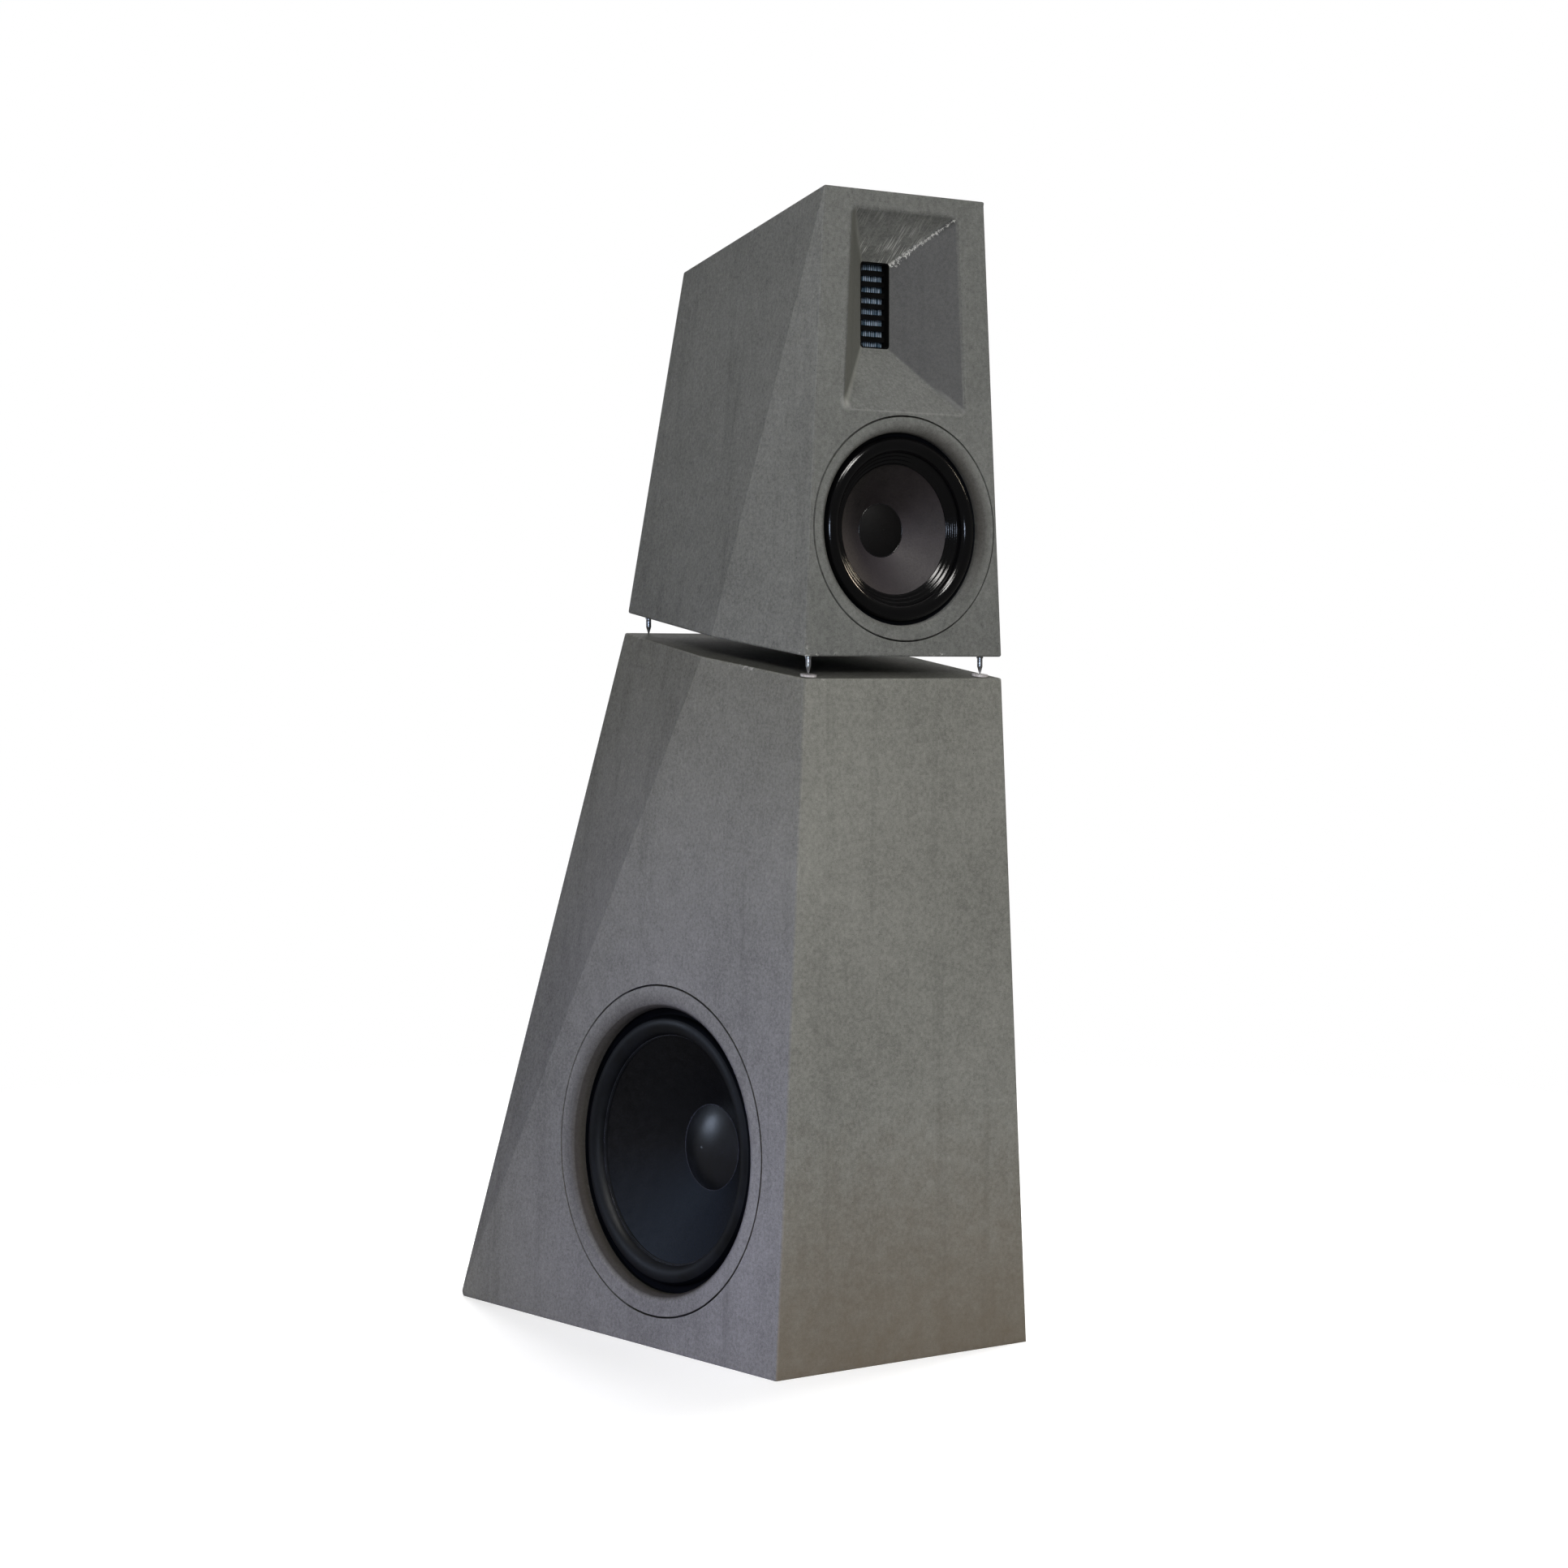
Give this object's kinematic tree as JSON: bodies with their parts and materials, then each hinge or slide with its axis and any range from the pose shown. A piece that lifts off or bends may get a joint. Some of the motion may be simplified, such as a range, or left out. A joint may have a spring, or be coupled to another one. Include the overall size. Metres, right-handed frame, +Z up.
{
  "type": "loudspeaker",
  "caption": "Floor-standing loudspeaker in two folded concrete castings: a bass cabinet with a side woofer, and a head on spikes with a cone midrange and a horn-loaded ribbon tweeter.",
  "frame": {"origin": "on the floor, in the middle of the base", "axes": "+Z up, front towards -Y, woofer on the -X side"},
  "size_m": [0.445, 0.604, 1.2759],
  "materials": {
    "concrete": "fair-faced cast concrete",
    "surround_rubber": "matte",
    "gasket_foam": "matte",
    "cone_paper": "coated",
    "mid_paper": "uncoated",
    "dome": "satin",
    "coil_winding": "enamelled copper",
    "spider_cloth": "impregnated",
    "basket_alloy": "black coat",
    "motor_steel": "black coat",
    "ferrite": "bare",
    "screw_steel": "blackened",
    "panel": "black anodised",
    "post_metal": "gilded",
    "cap_red": "gloss",
    "cap_black": "gloss",
    "board": "raw fibreboard",
    "capacitor": "film wrap",
    "resistor": "white cement",
    "tweeter_plate": "black",
    "ribbon": "foil",
    "tweeter_magnet": "nickel",
    "tweeter_cup": "black anodised",
    "spike_chrome": "polished",
    "insert_brass": "turned"
  },
  "bodies": {
    "speaker": {"bass_cabinet": "concrete", "woofer_trim_ring": "concrete", "woofer_surround": "surround_rubber", "woofer_spider": "spider_cloth", "woofer_basket": "basket_alloy", "woofer_gasket": "gasket_foam", "woofer_top_plate": "motor_steel", "woofer_magnet": "ferrite", "woofer_back_plate": "motor_steel", "woofer_screws": "screw_steel", "bass_terminal_plate": "panel", "bass_terminal_posts": "post_metal", "bass_terminal_cap_red": "cap_red", "bass_terminal_cap_black": "cap_black", "bass_terminal_screws": "screw_steel", "crossover_board": "board", "crossover_screws": "screw_steel", "crossover_coils": "coil_winding", "crossover_capacitors": "capacitor", "crossover_resistors": "resistor", "head_cabinet": "concrete", "mid_trim_ring": "concrete", "mid_surround": "surround_rubber", "mid_spider": "spider_cloth", "mid_basket": "basket_alloy", "mid_gasket": "gasket_foam", "mid_top_plate": "motor_steel", "mid_magnet": "ferrite", "mid_back_plate": "motor_steel", "mid_screws": "screw_steel", "tweeter_gasket": "gasket_foam", "tweeter_front_plate": "tweeter_plate", "tweeter_diaphragm": "ribbon", "tweeter_magnets": "tweeter_magnet", "tweeter_rear_plate": "tweeter_plate", "tweeter_housing": "tweeter_cup", "tweeter_screws": "screw_steel", "head_terminal_plate": "panel", "head_terminal_posts": "post_metal", "head_terminal_cap_red": "cap_red", "head_terminal_cap_black": "cap_black", "head_terminal_screws": "screw_steel", "spike_discs": "spike_chrome", "spikes": "spike_chrome", "spike_inserts": "insert_brass"},
    "woofer_cone_assembly": {"woofer_cone": "cone_paper", "woofer_dust_cap": "dome", "woofer_voice_coil": "coil_winding"},
    "mid_cone_assembly": {"mid_cone": "mid_paper", "mid_dust_cap": "dome", "mid_voice_coil": "coil_winding"}
  },
  "joints": [
    {"name": "woofer_cone_travel", "type": "slide", "parent": "speaker", "child": "woofer_cone_assembly", "axis": [-0.9952, -0.084, 0.0504], "range_m": [-0.008, 0.008], "stiffness_N_per_m": 2500, "deforming": ["woofer_surround", "woofer_spider"]},
    {"name": "mid_cone_travel", "type": "slide", "parent": "speaker", "child": "mid_cone_assembly", "axis": [0, -1, 0], "range_m": [-0.004, 0.004], "stiffness_N_per_m": 1800, "deforming": ["mid_surround", "mid_spider"]}
  ]
}
